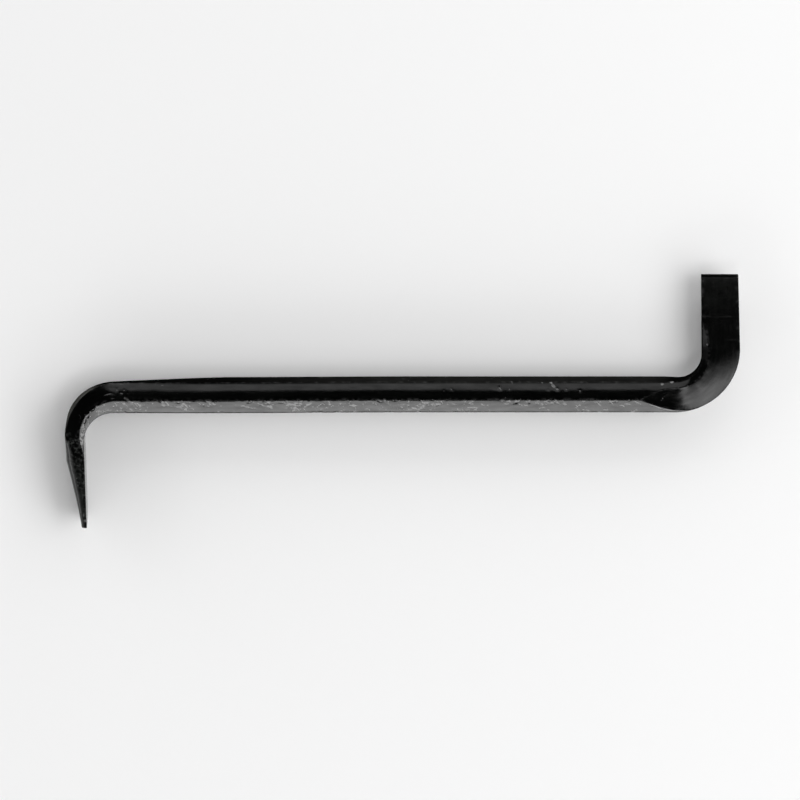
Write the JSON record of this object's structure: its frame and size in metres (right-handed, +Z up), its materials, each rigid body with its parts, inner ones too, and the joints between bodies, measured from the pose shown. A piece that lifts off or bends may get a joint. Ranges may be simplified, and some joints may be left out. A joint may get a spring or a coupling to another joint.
{
  "type": "offset screwdriver",
  "caption": "Offset screwdriver forged from hexagon bar, with slotted blades turned square at both ends, one across the plane of the bends and one in it.",
  "frame": {"origin": "centre of the tool's bounding box, on the surface that it lies on", "axes": "+X along the bar towards the level blade, +Y the way the level blade points, +Z up, square to the plane of the two bends"},
  "size_m": [0.118, 0.0456, 0.0068],
  "materials": {
    "black_steel": "oiled black phosphate on forged steel, with scuffs and small bright flecks along the edges"
  },
  "bodies": {
    "root": {"driver": "black_steel"}
  },
  "joints": []
}
